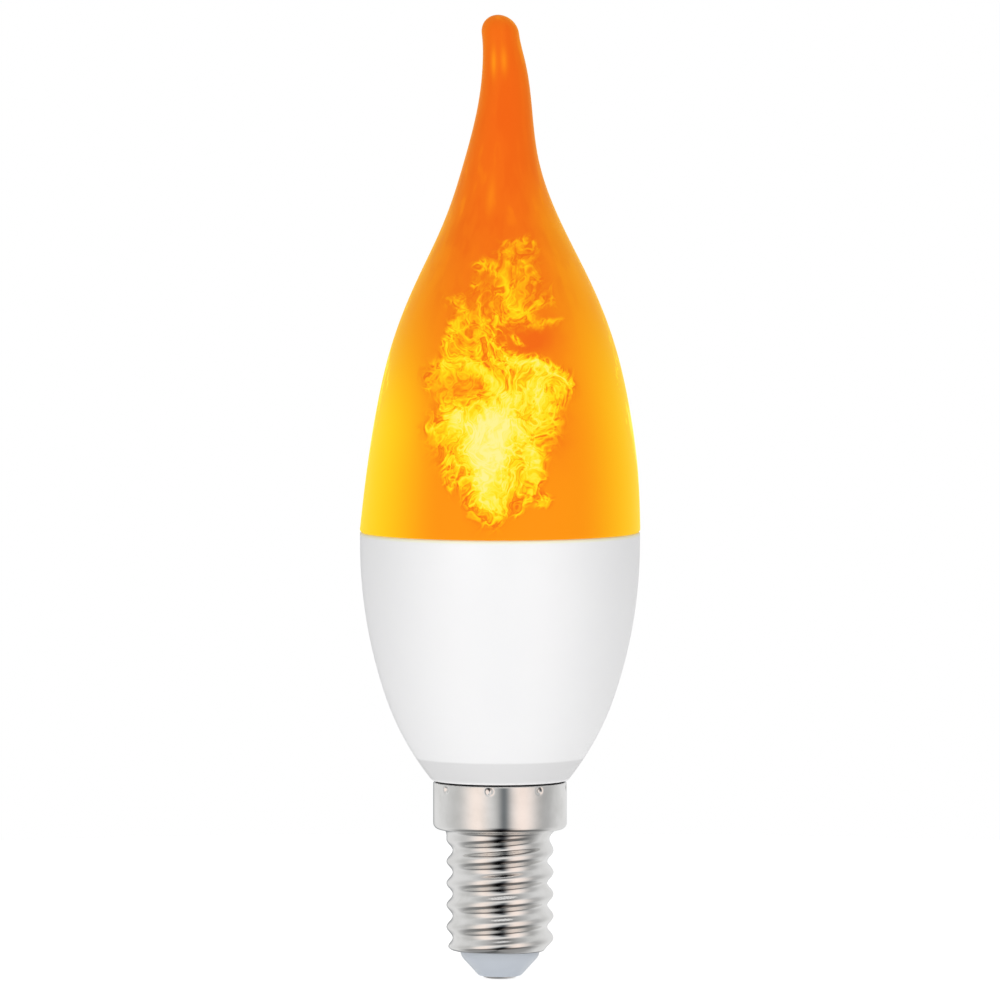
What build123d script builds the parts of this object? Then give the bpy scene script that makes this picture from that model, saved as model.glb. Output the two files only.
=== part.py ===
from build123d import *
import os
from math import sqrt

os.makedirs("parts", exist_ok=True)

# The lamp stands on its contact: +Z is up, the front is -Y, and the origin is the middle of the
# contact's flat face. All sizes are millimetres.

# Screw cap for a 14 mm lamp holder, pressed from sheet
sheet = 0.3
thread_crest_radius = 6.9
thread_depth = 0.8
thread_pitch = 2.822
thread_crest_land = 0.7
thread_root_land = 0.7
thread_lead_in = 2.25
thread_run_out = 1.4
shell_height = 15.7
foot_roll = 1.1
collar_radius = 8.6
collar_height = 6.3
collar_roll = 0.8
crimp_count = 8
crimp_turn = 36.0
crimp_width = 1.2
crimp_depth = 0.35
crimp_reach = 1.2

# Insulating nose and the contact riveted through it
contact_radius = 2.4
contact_flat_radius = 1.2
contact_stand = 0.35
shank_radius = 0.8
rivet_thickness = 0.5
rivet_margin = 0.4
nose_foot_radius = 2.7
nose_foot_round = 0.4
nose_cone_height = 2.6
nose_radius = 5.1
nose_round = 1.5
nose_height = 3.25
plug_height = 2.0

# Housing, a bowl with a neck that the collar grips. Two tangent arcs make each side of its wall,
# and they meet at the turn, which lies this high above the collar's rim.
body_radius = 18.0
housing_height = 32.05
belt_height = 1.4
bowl_turn_rise = 10.9
bowl_turn_radius = 14.75
bowl_wall = 1.8
housing_foot_radius = 8.75
neck_bore = 6.4
neck_chamfer = 0.8
rim_wall = 1.5
ledge_width = 1.0

# Flame cover: circles that the moulding runs through, from the seam up to the round tip. They lie one
# circle rise apart up to the tail. Each rise and each taper, by which the radius shrinks, is counted
# from the circle below, and each lean is the shift of a circle towards +X.
cover_overhang = 0.05
cover_wall = 1.2
skirt_depth = 3.0
circle_rise = 7.95
belly_taper = 0.63
belly_lean = 0.3
flank_taper = 1.17
flank_lean = 0.4
shoulder_taper = 1.85
shoulder_lean = 0.42
slope_taper = 3.05
slope_lean = 0.42
waist_taper = 3.8
waist_lean = 0.3
neck_taper = 2.75
neck_lean = 0.2
tail_taper = 1.45
tail_lean = 0.65
curl_rise = 4.7
curl_taper = 0.6
curl_lean = 0.52
tip_rise = 3.7
tip_taper = 0.35
tip_lean = 0.05

# Light engine: a hollow eight-sided post on a flange, its board and the chips
post_sides = 8
post_apothem = 6.0
post_wall = 1.2
post_height = 26.0
flange_thickness = 1.6
led_board_thickness = 0.4
led_rows = 5
led_first_row = 5.4
led_top_margin = 2.4
led_width = 2.8
led_length = 3.5
led_height = 0.8

# Driver board and what is soldered to it
board_thickness = 1.2
board_headroom = 1.0
board_rest = 1.2
board_slot_depth = 0.6
board_head_width = 19.0
can_radius = 3.15
can_length = 8.0
can_round = 0.5
can_groove_height = 1.4
can_groove_depth = 0.35
can_drop = 6.0
choke_radius = 2.5
choke_winding_radius = 2.1
choke_flange = 0.8
choke_length = 5.0
choke_drop = 5.0
chip_rise = 6.0
chip_length = 4.9
chip_width = 3.9
chip_height = 1.5
chip_legs = 4
chip_leg_pitch = 1.27
rectifier_length = 4.7
rectifier_width = 4.1
rectifier_height = 1.6
rectifier_legs = 2
rectifier_leg_pitch = 2.54
rectifier_rise = 6.0
leg_reach = 1.0
leg_width = 0.42
leg_thickness = 0.25
resistor_length = 6.3
resistor_radius = 1.25
resistor_bead_radius = 1.4
resistor_bead_length = 1.6
pin_radius = 0.3
wire_radius = 0.4
solder_length = 3.0
neutral_reach = 6.0

# Clearances
fit = 0.05
slide_fit = 0.1
wire_fit = 0.2
cut_margin = 0.5

# Heights, stacked from the contact's flat face
shell_foot = contact_stand + nose_height
collar_foot = shell_foot + shell_height
collar_rim = collar_foot + collar_height
seam = collar_rim + housing_height
flange_top = seam - skirt_depth
flange_foot = flange_top - flange_thickness
neck_foot = collar_foot + sheet
board_foot = neck_foot + board_rest
bowl_turn = collar_rim + bowl_turn_rise
belt_foot = seam - belt_height
board_shoulder = bowl_turn
board_top = flange_foot - board_headroom

# Radii that follow from the fits
thread_root_radius = thread_crest_radius - thread_depth
shell_bore = thread_root_radius - sheet
collar_bore = collar_radius - sheet
lip_radius = nose_radius + slide_fit
neck_outer_radius = collar_bore - fit
mouth_radius = body_radius - rim_wall
ledge_radius = mouth_radius - ledge_width
flange_radius = mouth_radius - slide_fit
skirt_radius = mouth_radius - slide_fit
crimp_radius = ((crimp_width / 2) ** 2 + crimp_depth**2) / (2 * crimp_depth)
crimp_axis = collar_radius + crimp_radius - crimp_depth
crimp_slope = crimp_reach / crimp_depth
led_board_inside = post_apothem + fit
led_board_outside = led_board_inside + led_board_thickness
pin_offset = board_thickness / 2 + pin_radius + fit
wire_offset = board_thickness / 2 + wire_radius + fit
rivet_radius = pin_offset + pin_radius + rivet_margin
rivet_foot = shell_foot + sheet + plug_height
rivet_top = rivet_foot + rivet_thickness

tab_half_width = neck_bore + board_slot_depth - slide_fit


def crimp_cones(offset, above, mode):
    """Cones on their points round the collar's rim, each wider than a crimp by an offset."""
    with Locations((0, 0, collar_rim + above)):
        with PolarLocations(crimp_axis, crimp_count, crimp_turn):
            top_radius = crimp_radius + offset + above / crimp_slope
            Cone(
                0,
                top_radius,
                top_radius * crimp_slope,
                align=(Align.CENTER, Align.CENTER, Align.MAX),
                mode=mode,
            )


def corner(sketch, radius, height):
    """The corner of a section nearest to a point given by radius and height."""
    return sketch.vertices().sort_by_distance((radius, height))[0]


# Screw cap: section of the pressed sheet, turned, with the thread rolled in and the collar crimped.
# Each crimp is a V pressed down from the rim, and the sheet bulges behind it into the housing's neck.
with BuildPart() as screw_cap:
    crimp_cones(sheet, 0, Mode.ADD)
    Cylinder(
        collar_radius - sheet / 2,
        collar_rim,
        align=(Align.CENTER, Align.CENTER, Align.MIN),
        mode=Mode.INTERSECT,
    )
    with BuildSketch(Plane.XZ) as cap_section:
        with BuildLine():
            Polyline(
                (lip_radius, shell_foot),
                (thread_crest_radius, shell_foot),
                (thread_crest_radius, collar_foot),
                (collar_radius, collar_foot),
                (collar_radius, collar_rim),
                (collar_bore, collar_rim),
                (collar_bore, neck_foot),
                (shell_bore, neck_foot),
                (shell_bore, shell_foot + sheet),
                (lip_radius, shell_foot + sheet),
                close=True,
            )
        make_face()
        fillet(corner(cap_section, thread_crest_radius, shell_foot), foot_roll)
        fillet(corner(cap_section, collar_radius, collar_foot), collar_roll)
        fillet(corner(cap_section, collar_bore, neck_foot), collar_roll - sheet)
    revolve(axis=Axis.Z)
    with BuildLine() as thread_path:
        thread_start = shell_foot - thread_lead_in
        thread_travel = collar_foot - thread_run_out - thread_start
        Helix(thread_pitch, thread_travel, thread_crest_radius, center=(0, 0, thread_start))
    with BuildSketch(Plane(origin=thread_path.line @ 0, x_dir=(1, 0, 0), z_dir=(0, -1, 0))):
        with BuildLine():
            groove_half = (thread_pitch - thread_crest_land) / 2
            flare = (groove_half - thread_root_land / 2) * cut_margin / thread_depth
            Polyline(
                (-thread_depth, -thread_root_land / 2),
                (-thread_depth, thread_root_land / 2),
                (cut_margin, groove_half + flare),
                (cut_margin, -groove_half - flare),
                close=True,
            )
        make_face()
    sweep(path=thread_path.line, is_frenet=True, mode=Mode.SUBTRACT)
    crimp_cones(0, cut_margin, Mode.SUBTRACT)
screw_cap.part.label = "screw_cap"
export_step(screw_cap.part, "parts/screw_cap.step")

# Insulator: a cone below the shell, and a wider plug that the shell's lip holds
with BuildPart() as cap_insulator:
    with BuildSketch(Plane.XZ) as nose_section:
        with BuildLine():
            Polyline(
                (shank_radius + fit, contact_stand),
                (nose_foot_radius, contact_stand),
                (nose_radius, contact_stand + nose_cone_height),
                (nose_radius, shell_foot + sheet),
                (shell_bore - slide_fit, shell_foot + sheet),
                (shell_bore - slide_fit, rivet_foot),
                (shank_radius + fit, rivet_foot),
                close=True,
            )
        make_face()
        fillet(corner(nose_section, nose_foot_radius, contact_stand), nose_foot_round)
        fillet(corner(nose_section, nose_radius, contact_stand + nose_cone_height), nose_round)
    revolve(axis=Axis.Z)
cap_insulator.part.label = "cap_insulator"
export_step(cap_insulator.part, "parts/cap_insulator.step")

# Contact: a low button with a flat face, its shank, and the rivet head clenched over the plug
with BuildPart() as centre_contact:
    with BuildSketch(Plane.XZ):
        with BuildLine():
            Line((0, 0), (contact_flat_radius, 0))
            TangentArc((contact_flat_radius, 0), (contact_radius, contact_stand), tangent=(1, 0))
            Polyline(
                (contact_radius, contact_stand),
                (shank_radius, contact_stand),
                (shank_radius, rivet_foot),
                (rivet_radius, rivet_foot),
                (rivet_radius, rivet_top),
                (0, rivet_top),
                (0, 0),
            )
        make_face()
    revolve(axis=Axis.Z)
centre_contact.part.label = "centre_contact"
export_step(centre_contact.part, "parts/centre_contact.step")

# Housing: the bowl, its neck in the collar, pockets for the crimps and slots for the driver board
with BuildPart() as housing:
    with BuildSketch(Plane.XZ):
        with BuildLine():
            Polyline(
                (neck_bore, collar_rim),
                (neck_bore, neck_foot),
                (neck_outer_radius - neck_chamfer, neck_foot),
                (neck_outer_radius, neck_foot + neck_chamfer),
                (neck_outer_radius, collar_rim),
                (housing_foot_radius, collar_rim),
            )
            upper_outside = TangentArc(
                (body_radius, belt_foot), (bowl_turn_radius, bowl_turn), tangent=(0, -1)
            )
            TangentArc(
                (bowl_turn_radius, bowl_turn),
                (housing_foot_radius, collar_rim),
                tangent=upper_outside % 1,
            )
            Polyline(
                (body_radius, belt_foot),
                (body_radius, seam),
                (mouth_radius, seam),
                (mouth_radius, flange_foot),
                (ledge_radius, flange_foot),
            )
            upper_inside = TangentArc(
                (ledge_radius, flange_foot), (bowl_turn_radius - bowl_wall, bowl_turn), tangent=(0, -1)
            )
            TangentArc(
                (bowl_turn_radius - bowl_wall, bowl_turn),
                (neck_bore, collar_rim),
                tangent=upper_inside % 1,
            )
        make_face()
    revolve(axis=Axis.Z)
    crimp_cones(sheet + slide_fit, 0, Mode.SUBTRACT)
    with Locations((0, 0, board_foot)):
        Box(
            2 * (neck_bore + board_slot_depth),
            board_thickness + 2 * fit,
            board_shoulder - board_foot,
            align=(Align.CENTER, Align.CENTER, Align.MIN),
            mode=Mode.SUBTRACT,
        )
housing.part.label = "housing"
export_step(housing.part, "parts/housing.step")

# Flame cover: lofted through its circles, hollow up to the neck, with a skirt in the housing's mouth
station_height = seam
station_radius = body_radius + cover_overhang
cover_stations = [(station_height, station_radius, 0)]
for rise, taper, lean in (
    (circle_rise, belly_taper, belly_lean),
    (circle_rise, flank_taper, flank_lean),
    (circle_rise, shoulder_taper, shoulder_lean),
    (circle_rise, slope_taper, slope_lean),
    (circle_rise, waist_taper, waist_lean),
    (circle_rise, neck_taper, neck_lean),
    (circle_rise, tail_taper, tail_lean),
    (curl_rise, curl_taper, curl_lean),
    (tip_rise, tip_taper, tip_lean),
):
    station_height += rise
    station_radius -= taper
    cover_stations.append((station_height, station_radius, lean))
tip_height, tip_radius, tip_shift = cover_stations[-1]
cavity_stations = [(seam, skirt_radius, 0)] + cover_stations[1:-3]
cavity_top, cavity_top_radius, cavity_top_lean = cavity_stations[-1]

with BuildPart() as flame_cover:
    for height, radius, lean in cover_stations:
        with BuildSketch(Plane.XY.offset(height)):
            with Locations((lean, 0)):
                Circle(radius)
    loft()
    with Locations((tip_shift, 0, tip_height)):
        Sphere(tip_radius)
    with BuildSketch(Plane.XY.offset(flange_top)):
        Circle(skirt_radius)
    extrude(amount=skirt_depth)
    with BuildSketch(Plane.XY.offset(flange_top)):
        Circle(skirt_radius - cover_wall)
    extrude(amount=skirt_depth, mode=Mode.SUBTRACT)
    for height, radius, lean in cavity_stations:
        with BuildSketch(Plane.XY.offset(height)):
            with Locations((lean, 0)):
                Circle(radius - cover_wall)
    loft(mode=Mode.SUBTRACT)
    with Locations((cavity_top_lean, 0, cavity_top)):
        Sphere(cavity_top_radius - cover_wall, mode=Mode.SUBTRACT)
flame_cover.part.label = "flame_cover"
export_step(flame_cover.part, "parts/flame_cover.step")

# LED post: a flange held between the ledge and the skirt, and the hollow post on it
half_side_turn = 180 / post_sides
lead_x = led_board_outside + wire_radius + fit
with BuildPart() as led_post:
    with BuildSketch(Plane.XY.offset(flange_foot)):
        Circle(flange_radius)
        with Locations((lead_x, -wire_offset), (-lead_x, -wire_offset)):
            Circle(wire_radius + wire_fit, mode=Mode.SUBTRACT)
    extrude(amount=flange_thickness)
    with BuildSketch(Plane.XY.offset(flange_top)):
        RegularPolygon(post_apothem, post_sides, major_radius=False, rotation=half_side_turn)
    extrude(amount=post_height)
    with BuildSketch(Plane.XY.offset(flange_foot)):
        RegularPolygon(
            post_apothem - post_wall, post_sides, major_radius=False, rotation=half_side_turn
        )
    extrude(amount=flange_thickness + post_height, mode=Mode.SUBTRACT)
led_post.part.label = "led_post"
export_step(led_post.part, "parts/led_post.step")

# LED board: a flexible board folded round the post
with BuildPart() as led_board:
    with BuildSketch(Plane.XY.offset(flange_top)):
        RegularPolygon(led_board_outside, post_sides, major_radius=False, rotation=half_side_turn)
        RegularPolygon(
            led_board_inside,
            post_sides,
            major_radius=False,
            rotation=half_side_turn,
            mode=Mode.SUBTRACT,
        )
    extrude(amount=post_height)
led_board.part.label = "led_board"
export_step(led_board.part, "parts/led_board.step")

# LEDs: evenly spaced rows of chips, one chip on each side of the post
led_row_pitch = (post_height - led_first_row - led_top_margin) / (led_rows - 1)
with BuildPart() as leds:
    for row in range(led_rows):
        with Locations((0, 0, flange_top + led_first_row + row * led_row_pitch)):
            with PolarLocations(led_board_outside, post_sides):
                Box(
                    led_height,
                    led_width,
                    led_length,
                    align=(Align.MIN, Align.CENTER, Align.CENTER),
                )
leds.part.label = "leds"
export_step(leds.part, "parts/leds.step")

# Driver board: a tab that slides into the neck's slots, and a wider head in the bowl
with BuildPart() as driver_board:
    with BuildSketch(Plane.XZ):
        with Locations((0, board_foot)):
            Rectangle(2 * tab_half_width, board_top - board_foot, align=(Align.CENTER, Align.MIN))
        with Locations((0, board_shoulder)):
            Rectangle(
                board_head_width, board_top - board_shoulder, align=(Align.CENTER, Align.MIN)
            )
    extrude(amount=board_thickness / 2, both=True)
driver_board.part.label = "driver_board"
export_step(driver_board.part, "parts/driver_board.step")


def board_face(height, front):
    """A plane on one face of the driver board, with its z axis pointing away from the board."""
    side = -1 if front else 1
    return Plane(
        origin=(0, side * board_thickness / 2, height), x_dir=(-side, 0, 0), z_dir=(0, side, 0)
    )


def chip_package(seat, length, width, height, legs, leg_pitch):
    """A moulded chip on its legs, which lie on the board along both long sides."""
    with BuildPart(seat) as package:
        with Locations((0, 0, leg_thickness / 2)):
            Box(length, width, height, align=(Align.CENTER, Align.CENTER, Align.MIN))
        with GridLocations(leg_pitch, 0, legs, 1):
            Box(
                leg_width,
                width + 2 * leg_reach,
                leg_thickness,
                align=(Align.CENTER, Align.CENTER, Align.MIN),
            )
    return package.part


rectifier = chip_package(
    board_face(collar_rim + rectifier_rise, True),
    rectifier_length,
    rectifier_width,
    rectifier_height,
    rectifier_legs,
    rectifier_leg_pitch,
)
rectifier.label = "rectifier"
export_step(rectifier, "parts/rectifier.step")

driver_chip = chip_package(
    board_face(collar_rim + chip_rise, False),
    chip_length,
    chip_width,
    chip_height,
    chip_legs,
    chip_leg_pitch,
)
driver_chip.label = "driver_chip"
export_step(driver_chip, "parts/driver_chip.step")

# Smoothing capacitor: a can with a rounded top and a crimp groove, standing on the board
with BuildPart(board_face(board_top - can_drop, True)) as smoothing_capacitor:
    Cylinder(can_radius, can_length, align=(Align.CENTER, Align.CENTER, Align.MIN))
    fillet(smoothing_capacitor.edges().sort_by(Axis.Y)[0], can_round)
    with Locations((0, 0, can_groove_height)):
        Cylinder(can_radius + cut_margin, 2 * can_groove_depth, mode=Mode.SUBTRACT)
        Cylinder(can_radius - can_groove_depth, 2 * can_groove_depth)
smoothing_capacitor.part.label = "smoothing_capacitor"
export_step(smoothing_capacitor.part, "parts/smoothing_capacitor.step")

# Choke: a wound drum core between two flanges
with BuildPart(board_face(board_top - choke_drop, False)) as choke:
    Cylinder(choke_winding_radius, choke_length, align=(Align.CENTER, Align.CENTER, Align.MIN))
    Cylinder(choke_radius, choke_flange, align=(Align.CENTER, Align.CENTER, Align.MIN))
    with Locations((0, 0, choke_length - choke_flange)):
        Cylinder(choke_radius, choke_flange, align=(Align.CENTER, Align.CENTER, Align.MIN))
choke.part.label = "choke"
export_step(choke.part, "parts/choke.step")

# Fuse resistor: its pins stand on the contact's rivet head and lie on the board's front face
pin_top = board_foot + solder_length
resistor_foot = (rivet_top + board_foot - resistor_length) / 2
bead_step = resistor_length - resistor_bead_length
with BuildPart(Plane((0, -pin_offset, rivet_top))) as fuse_resistor:
    Cylinder(pin_radius, pin_top - rivet_top, align=(Align.CENTER, Align.CENTER, Align.MIN))
    with Locations((0, 0, resistor_foot - rivet_top)):
        Cylinder(resistor_radius, resistor_length, align=(Align.CENTER, Align.CENTER, Align.MIN))
        with Locations((0, 0, 0), (0, 0, bead_step)):
            Cylinder(
                resistor_bead_radius,
                resistor_bead_length,
                align=(Align.CENTER, Align.CENTER, Align.MIN),
            )
fuse_resistor.part.label = "fuse_resistor"
export_step(fuse_resistor.part, "parts/fuse_resistor.step")

# Neutral lead: from the board's front face down the inside of the shell, where it is soldered
neutral_reach_radius = shell_bore - wire_radius - fit
neutral_x = sqrt(neutral_reach_radius**2 - wire_offset**2)
neutral_foot = collar_foot - neutral_reach
with BuildPart(Plane((neutral_x, -wire_offset, neutral_foot))) as neutral_lead:
    Cylinder(
        wire_radius,
        board_foot + solder_length - neutral_foot,
        align=(Align.CENTER, Align.CENTER, Align.MIN),
    )
neutral_lead.part.label = "neutral_lead"
export_step(neutral_lead.part, "parts/neutral_lead.step")

# LED leads: a pair from the board's head, through the flange, to the LED board
lead_foot = board_top - solder_length
with BuildPart(Plane((0, -wire_offset, lead_foot))) as led_leads:
    with Locations((lead_x, 0), (-lead_x, 0)):
        Cylinder(
            wire_radius,
            flange_top + solder_length - lead_foot,
            align=(Align.CENTER, Align.CENTER, Align.MIN),
        )
led_leads.part.label = "led_leads"
export_step(led_leads.part, "parts/led_leads.step")
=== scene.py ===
"""Dress the flame-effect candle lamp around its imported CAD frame, and set up the studio.

The lamp's sizes are millimetres in the CAD frame and become metres when a mesh is made. The studio's
distances are metres, and angles in the fields are degrees. +Z is up, the front is -Y, and the origin
is the middle of the contact's flat face.
"""

from __future__ import annotations

import logging
from dataclasses import dataclass
from enum import Enum
from math import cos, radians, sin
from typing import Mapping, Optional, Sequence, Tuple, Union

import bpy
import numpy as np
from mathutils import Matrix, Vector

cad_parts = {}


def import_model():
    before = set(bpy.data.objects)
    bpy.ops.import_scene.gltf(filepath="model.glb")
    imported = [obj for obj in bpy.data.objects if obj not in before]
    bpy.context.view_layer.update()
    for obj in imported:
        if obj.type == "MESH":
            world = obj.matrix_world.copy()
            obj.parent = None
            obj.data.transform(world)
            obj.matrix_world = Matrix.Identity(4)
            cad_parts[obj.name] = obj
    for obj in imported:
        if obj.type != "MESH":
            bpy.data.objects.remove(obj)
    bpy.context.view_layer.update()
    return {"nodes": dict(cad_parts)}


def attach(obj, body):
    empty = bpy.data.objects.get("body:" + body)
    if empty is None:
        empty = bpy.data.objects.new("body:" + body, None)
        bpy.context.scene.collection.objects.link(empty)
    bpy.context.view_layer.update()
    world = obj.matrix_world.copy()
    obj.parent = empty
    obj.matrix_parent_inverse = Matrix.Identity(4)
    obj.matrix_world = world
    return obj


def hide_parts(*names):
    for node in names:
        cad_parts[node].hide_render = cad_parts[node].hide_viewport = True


LOG = logging.getLogger("candle_lamp")

MM = 0.001
FULL_TURN = 2 * np.pi
BODY = "root"
BLACK = (0.0, 0.0, 0.0)
WHITE = (1.0, 1.0, 1.0)
NOISE_MIDDLE = 0.5
LEVEL_PART = (1.0, 1.0, 0.0)

# Sizes that two pieces share

SEAM = 57.65
COLLAR_RIM = 25.6
CONE_FOOT = 0.35
PLUG_TOP = 5.9

# Kinds of value

Colour = Tuple[float, float, float]
Point = Tuple[float, float]
Corner = Tuple[float, float, float]
Range = Tuple[float, float]
Stretch = Tuple[float, float, float]
Stops = Sequence[Tuple[float, Colour]]
Operand = Union["Channel", float]
Settings = Mapping[str, object]
Sockets = Mapping[Union[str, int], object]


class Principled(str, Enum):
    """The surface shader's sockets that the finishes use."""

    BASE = "Base Color"
    ROUGHNESS = "Roughness"
    METALLIC = "Metallic"
    SPECULAR = "Specular IOR Level"
    SHEEN = "Sheen Weight"
    SHEEN_ROUGHNESS = "Sheen Roughness"
    SHEEN_TINT = "Sheen Tint"
    GLOW = "Emission Color"
    GLOW_STRENGTH = "Emission Strength"
    NORMAL = "Normal"


class MixSocket(int, Enum):
    """Places of the colour sockets on a Mix node."""

    FACTOR = 0
    FIRST = 6
    SECOND = 7
    RESULT = 2


class Axis(int, Enum):
    """Places of a vector's parts."""

    X = 0
    Y = 1
    Z = 2


class Ray(str, Enum):
    """Kinds of ray that the studio answers in their own way."""

    CAMERA = "Is Camera Ray"
    GLOSSY = "Is Glossy Ray"
    TRANSMISSION = "Is Transmission Ray"


# Shader trees


class Channel:
    """A shader socket that takes part in Python arithmetic."""

    def __init__(self, tree: "ShaderTree", socket: bpy.types.NodeSocket) -> None:
        """Keep the tree and the output socket that this channel stands for."""
        self.tree = tree
        self.socket = socket

    def math(self, operation: str, *operands: Operand) -> "Channel":
        """Add a Math node with this channel as its first operand."""
        inputs = dict(enumerate((self, *operands)))
        return self.tree.add("ShaderNodeMath", {"operation": operation}, inputs)

    def __add__(self, other: Operand) -> "Channel":
        """Sum."""
        return self.math("ADD", other)

    __radd__ = __add__

    def __mul__(self, other: Operand) -> "Channel":
        """Product."""
        return self.math("MULTIPLY", other)

    __rmul__ = __mul__

    def __sub__(self, other: Operand) -> "Channel":
        """Difference."""
        return self.math("SUBTRACT", other)

    def __rsub__(self, other: float) -> "Channel":
        """Difference with a number in front."""
        return (self * -1.0) + other

    def __truediv__(self, other: Operand) -> "Channel":
        """Quotient."""
        return self.math("DIVIDE", other)

    def __pow__(self, other: Operand) -> "Channel":
        """Power."""
        return self.math("POWER", other)

    def __abs__(self) -> "Channel":
        """Size without sign."""
        return self.math("ABSOLUTE")

    def __gt__(self, other: Operand) -> "Channel":
        """One where this is the greater, else nought."""
        return self.math("GREATER_THAN", other)

    def rise(self, start: float, stop: float) -> "Channel":
        """Smooth step from nought to one.

        Args:
            start: Where it is nought, above or below stop.
            stop: Where it is one.

        Returns:
            The step.
        """
        settings = {"interpolation_type": "SMOOTHSTEP"}
        inputs = {"Value": self, "From Min": start, "From Max": stop}
        return self.tree.add("ShaderNodeMapRange", settings, inputs)


class ShaderTree:
    """The node tree of a material or the world, with one method that adds nodes."""

    def __init__(self, owner: Union[bpy.types.Material, bpy.types.World]) -> None:
        """Empty the owner's node tree.

        Args:
            owner: The material or the world.
        """
        owner.use_nodes = True
        self.tree = owner.node_tree
        self.tree.nodes.clear()

    def add(
        self, kind: str, settings: Settings, inputs: Sockets, output: Union[str, int] = 0
    ) -> Optional[Channel]:
        """Add a node.

        Args:
            kind: The node's type name.
            settings: Properties to set first; "stops" gives a ramp's positions and colours.
            inputs: Values or channels by socket name or place.
            output: The output that is wanted.

        Returns:
            That output as a channel, or None from a node that ends the tree.
        """
        node = self.tree.nodes.new(kind)
        for key, value in settings.items():
            if key == "stops":
                self.set_stops(node.color_ramp, value)
            else:
                setattr(node, key, value)
        for key, value in inputs.items():
            self.feed(node.inputs[key], value)
        return Channel(self, node.outputs[output]) if node.outputs else None

    def feed(self, socket: bpy.types.NodeSocket, value: object) -> None:
        """Link a channel to a socket, or set its value.

        Args:
            socket: The input.
            value: A channel, or a value of the socket's kind, with three parts for a colour.
        """
        if isinstance(value, Channel):
            self.tree.links.new(value.socket, socket)
        elif isinstance(value, tuple) and socket.type == "RGBA":
            socket.default_value = (*value, 1.0)
        else:
            socket.default_value = value

    @staticmethod
    def set_stops(ramp: bpy.types.ColorRamp, stops: Stops) -> None:
        """Give a ramp these stops and no others.

        Args:
            ramp: The ramp.
            stops: Positions and colours, in order.
        """
        while len(ramp.elements) > 1:
            ramp.elements.remove(ramp.elements[-1])
        ramp.elements[0].position = stops[0][0]
        ramp.elements[0].color = (*stops[0][1], 1.0)
        for position, colour in stops[1:]:
            ramp.elements.new(position).color = (*colour, 1.0)

    def place(self) -> Channel:
        """The point on the piece, in millimetres."""
        point = self.add("ShaderNodeTexCoord", {}, {}, "Object")
        return self.vector("SCALE", point, Scale=1 / MM)

    def vector(self, operation: str, *vectors: object, **named: float) -> Channel:
        """Add a Vector Math node.

        Args:
            operation: What it works out.
            vectors: Its vectors, as channels or numbers.
            named: Its other inputs by socket name.

        Returns:
            A number from a dot product or a length, and else a vector.
        """
        inputs = {**dict(enumerate(vectors)), **named}
        output = "Value" if operation in ("DOT_PRODUCT", "LENGTH") else "Vector"
        return self.add("ShaderNodeVectorMath", {"operation": operation}, inputs, output)

    def split(self, vector: Channel) -> Tuple[Channel, Channel, Channel]:
        """The three parts of a vector.

        Args:
            vector: The vector.

        Returns:
            Its parts along x, y and z.
        """
        node = self.add("ShaderNodeSeparateXYZ", {}, {"Vector": vector}).socket.node
        x, y, z = (Channel(self, part) for part in node.outputs)
        return x, y, z

    def join(self, first: Operand, second: Operand, third: Operand) -> Channel:
        """A vector from three parts."""
        return self.add("ShaderNodeCombineXYZ", {}, {"X": first, "Y": second, "Z": third})

    def ray(self, kind: Ray) -> Channel:
        """One for rays of this kind, else nought."""
        return self.add("ShaderNodeLightPath", {}, {}, kind.value)

    def noise(self, vector: Channel, scale: float, detail: float = 2.0, output: str = "Fac") -> Channel:
        """Noise over a vector in millimetres; the scale is in waves to a millimetre."""
        inputs = {"Vector": vector, "Scale": scale, "Detail": detail}
        return self.add("ShaderNodeTexNoise", {}, inputs, output)

    def mix(self, factor: Operand, first: object, second: object) -> Channel:
        """Blend two colours.

        Args:
            factor: Nought for the first colour, one for the second.
            first: A colour.
            second: Another colour.

        Returns:
            The blend.
        """
        inputs = {
            MixSocket.FACTOR.value: factor,
            MixSocket.FIRST.value: first,
            MixSocket.SECOND.value: second,
        }
        return self.add("ShaderNodeMix", {"data_type": "RGBA"}, inputs, MixSocket.RESULT.value)

    def ramp(self, value: Channel, stops: Stops) -> Channel:
        """Colours along a value."""
        return self.add("ShaderNodeValToRGB", {"stops": stops}, {"Fac": value})

    def bump(self, height: Channel, reach: float) -> Channel:
        """A normal tilted by a height map, in which one is a reach in millimetres."""
        return self.add("ShaderNodeBump", {}, {"Height": height, "Distance": reach * MM})

    def surface(self, sockets: Mapping[Principled, object]) -> None:
        """End the tree in a Principled shader.

        Args:
            sockets: Values or channels by socket.
        """
        inputs = {socket.value: value for socket, value in sockets.items()}
        shader = self.add("ShaderNodeBsdfPrincipled", {}, inputs)
        self.add("ShaderNodeOutputMaterial", {}, {"Surface": shader})


# Finishes


@dataclass(frozen=True)
class Finish:
    """A procedural material; each kind paints its own tree."""

    name: str

    def paint(self, tree: ShaderTree) -> None:
        """Fill the tree."""
        raise NotImplementedError

    def material(self) -> bpy.types.Material:
        """Make the Blender material.

        Returns:
            The new material.
        """
        made = bpy.data.materials.new(self.name)
        self.paint(ShaderTree(made))
        return made


@dataclass(frozen=True)
class Stroke:
    """A soft stroke of flame light: its middle, half length, half width, slant and light.

    Lengths are millimetres across and up the cover's front, and the slant is degrees from level.
    """

    across: float
    up: float
    half_length: float
    half_width: float
    slant: float
    light: float


@dataclass(frozen=True)
class Weave:
    """A layer of thin strands: waves to a millimetre, sharpness, weight and the noise's level."""

    scale: float
    sharpness: float
    weight: float
    level: float = NOISE_MIDDLE


# The flame's strokes

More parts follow.
